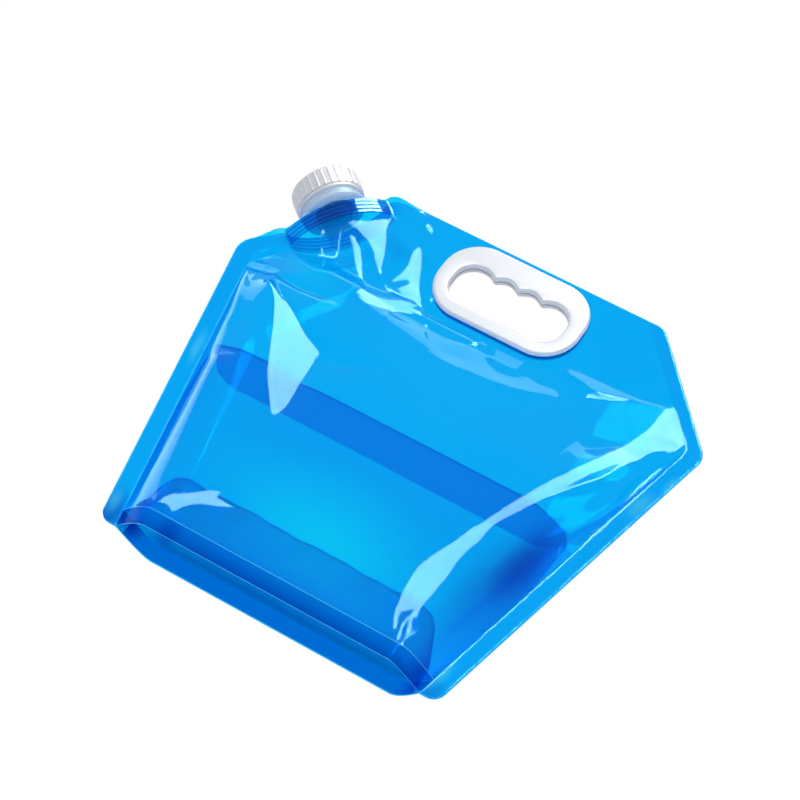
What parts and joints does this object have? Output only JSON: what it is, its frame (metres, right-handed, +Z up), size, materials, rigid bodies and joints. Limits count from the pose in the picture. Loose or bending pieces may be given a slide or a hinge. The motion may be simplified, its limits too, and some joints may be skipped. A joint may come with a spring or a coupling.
{
  "type": "collapsible water carrier",
  "caption": "Stand-up water pouch of clear blue film with a white screw cap on a corner spout and a snap-in handle, part filled with water",
  "frame": {"origin": "on the ground under the middle of the standing bag", "axes": "+X along the bag's width towards the plain shoulder, +Y from front to back, +Z up"},
  "size_m": [0.3258, 0.0502, 0.293],
  "materials": {
    "blue_film": "clear blue film, glossy",
    "water": "clear water seen through blue film",
    "spout_plastic": "translucent natural, satin",
    "cap_plastic": "white, satin",
    "liner_foam": "soft white",
    "handle_plastic": "white, satin"
  },
  "bodies": {
    "bag": {"front_panel": "blue_film", "back_panel": "blue_film", "water": "water", "spout": "spout_plastic", "snap_ring": "cap_plastic", "handle_front": "handle_plastic", "handle_back": "handle_plastic"},
    "base": {"bottom_gusset": "blue_film"},
    "liner": {"cap_liner": "liner_foam"},
    "cap": {"cap": "cap_plastic"}
  },
  "joints": [
    {"name": "base_fold", "type": "slide", "parent": "bag", "child": "base", "axis": [0, 0, 1], "range_m": [0, 0.018], "deforming": ["front_panel", "back_panel", "bottom_gusset", "water"]},
    {"name": "cap_lift", "type": "slide", "parent": "bag", "child": "liner", "axis": [-0.7804, 0, 0.6253], "range_m": [0, 0.008]},
    {"name": "cap_turn", "type": "hinge", "parent": "liner", "child": "cap", "pos_m": [-0.13653, 0, 0.27156], "axis": [-0.7804, 0, 0.6253], "range_deg": [0, 720]}
  ],
  "couplings": [
    {"joint": "cap_lift", "follows": "cap_turn", "m_per_rad": 0.00063662}
  ]
}
